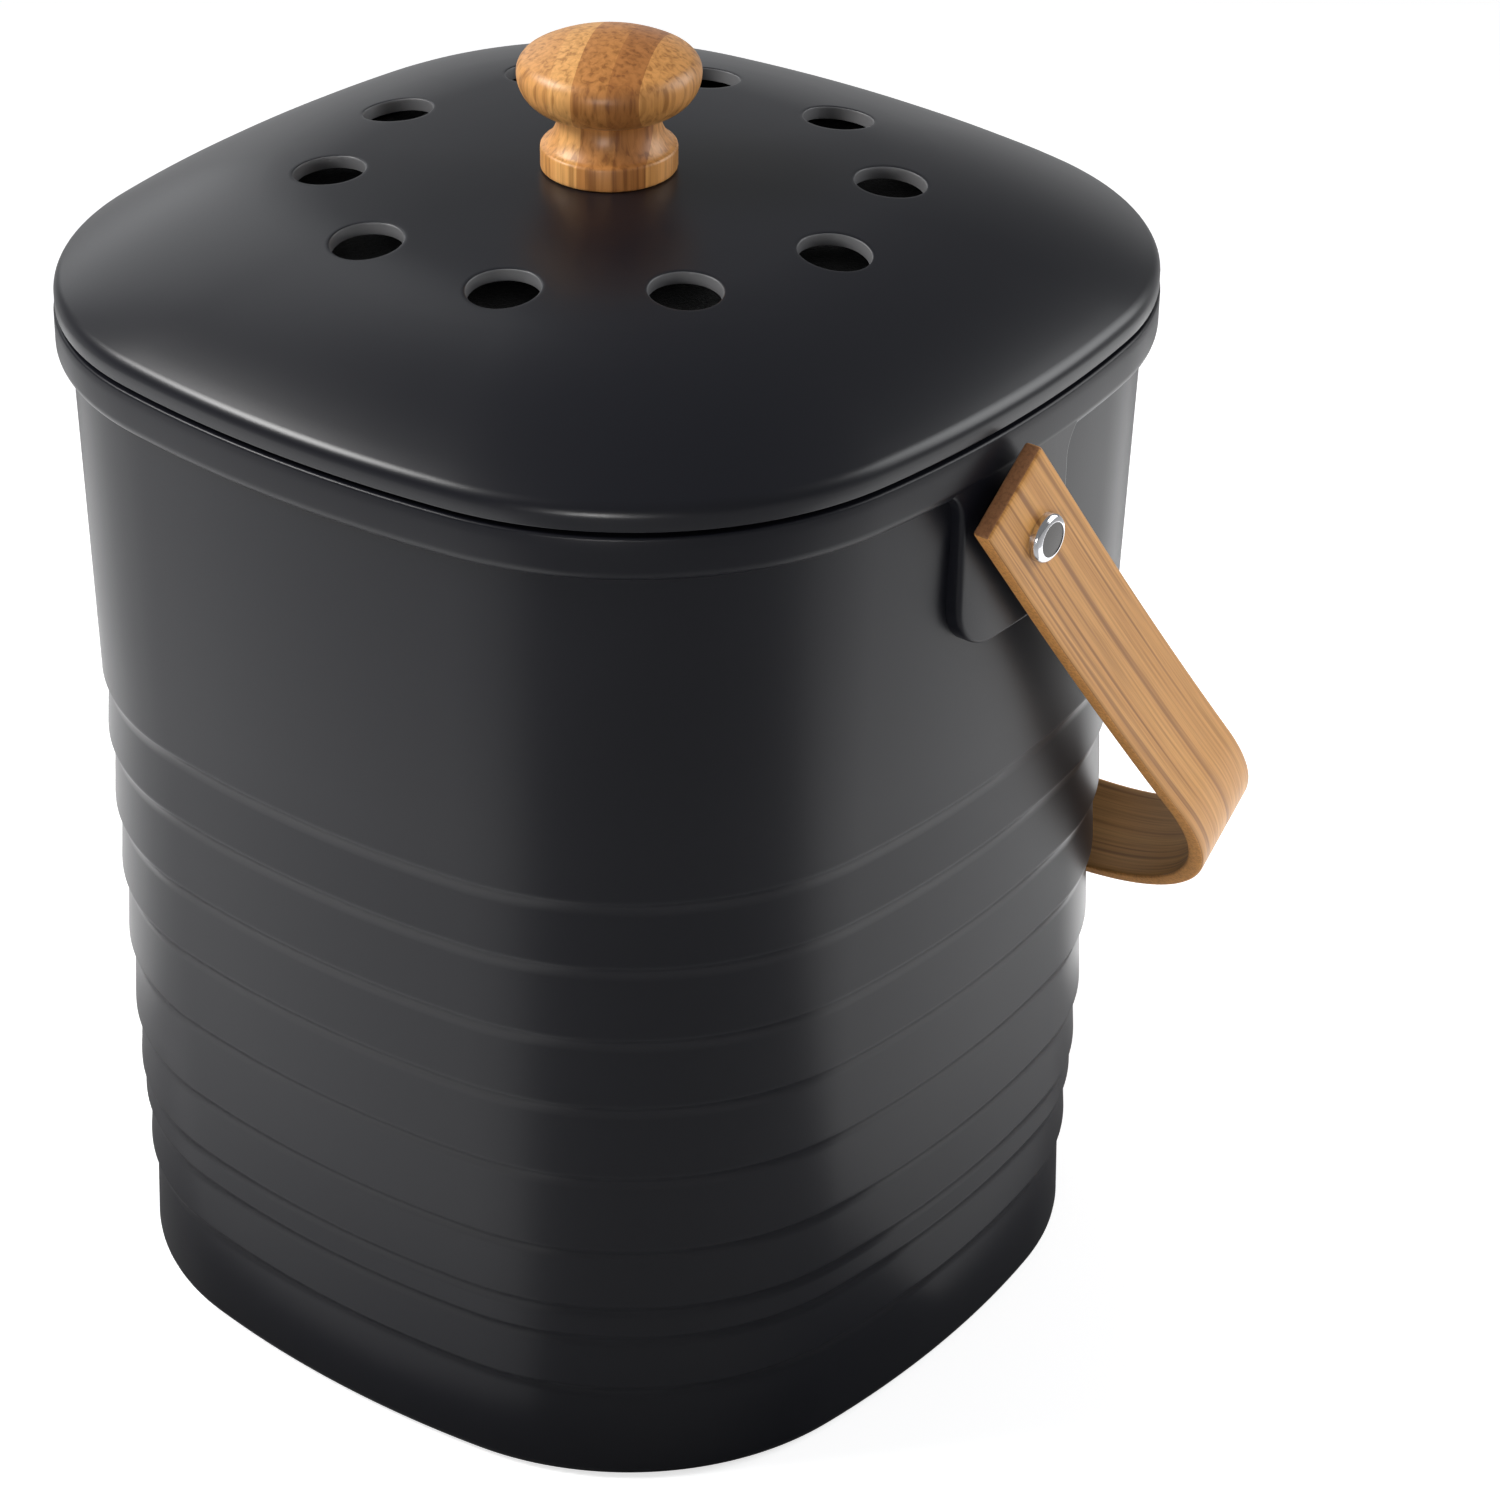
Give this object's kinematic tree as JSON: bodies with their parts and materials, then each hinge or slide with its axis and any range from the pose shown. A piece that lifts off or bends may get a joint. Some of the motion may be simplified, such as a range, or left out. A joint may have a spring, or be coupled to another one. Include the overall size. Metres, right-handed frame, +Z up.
{
  "type": "countertop compost bin",
  "caption": "Countertop compost bin: black rounded-square bucket with stepped bands, domed vented lid with a bamboo knob, bent bamboo bail on capped rivets, charcoal filter under the lid",
  "frame": {"origin": "centre of the flat base, on the surface the bin stands on", "axes": "+Z up, the bail turns about an axis along X through the two rivets, and hangs at the back, on +Y"},
  "size_m": [0.2184, 0.2118, 0.2756],
  "materials": {
    "black_plastic": "satin moulded",
    "black_silicone": "matte",
    "black_spacer": "matte",
    "knob_bamboo": "satin lacquer",
    "strip_bamboo": "satin lacquer",
    "bright_chrome": "polished",
    "steel": "plain",
    "insert_brass": "plain",
    "charcoal_felt": "felt"
  },
  "bodies": {
    "bucket": {"bucket": "black_plastic", "rivet_right": "bright_chrome", "rivet_left": "bright_chrome", "rivet_screw_right": "steel", "rivet_screw_left": "steel", "rivet_washer_right": "steel", "rivet_washer_left": "steel", "handle_spacer_right": "black_spacer", "handle_spacer_left": "black_spacer"},
    "lid": {"lid": "black_plastic", "lid_collar": "black_plastic", "lid_seal": "black_silicone", "filter_cup": "black_plastic", "knob": "knob_bamboo", "knob_insert": "insert_brass", "knob_washer": "steel", "knob_screw": "steel"},
    "filter": {"filter_retainer": "black_plastic", "charcoal_filter": "charcoal_felt"},
    "handle": {"handle": "strip_bamboo"}
  },
  "joints": [
    {"name": "lid_lift", "type": "slide", "parent": "bucket", "child": "lid", "axis": [0, 0, 1], "range_m": [0, 0.085]},
    {"name": "filter_release", "type": "slide", "parent": "lid", "child": "filter", "axis": [0, 0, -1], "range_m": [0, 0.04]},
    {"name": "handle_swing", "type": "hinge", "parent": "bucket", "child": "handle", "pos_m": [0, 0, 0.2008], "axis": [1, 0, 0], "range_deg": [0, 284.3]}
  ]
}
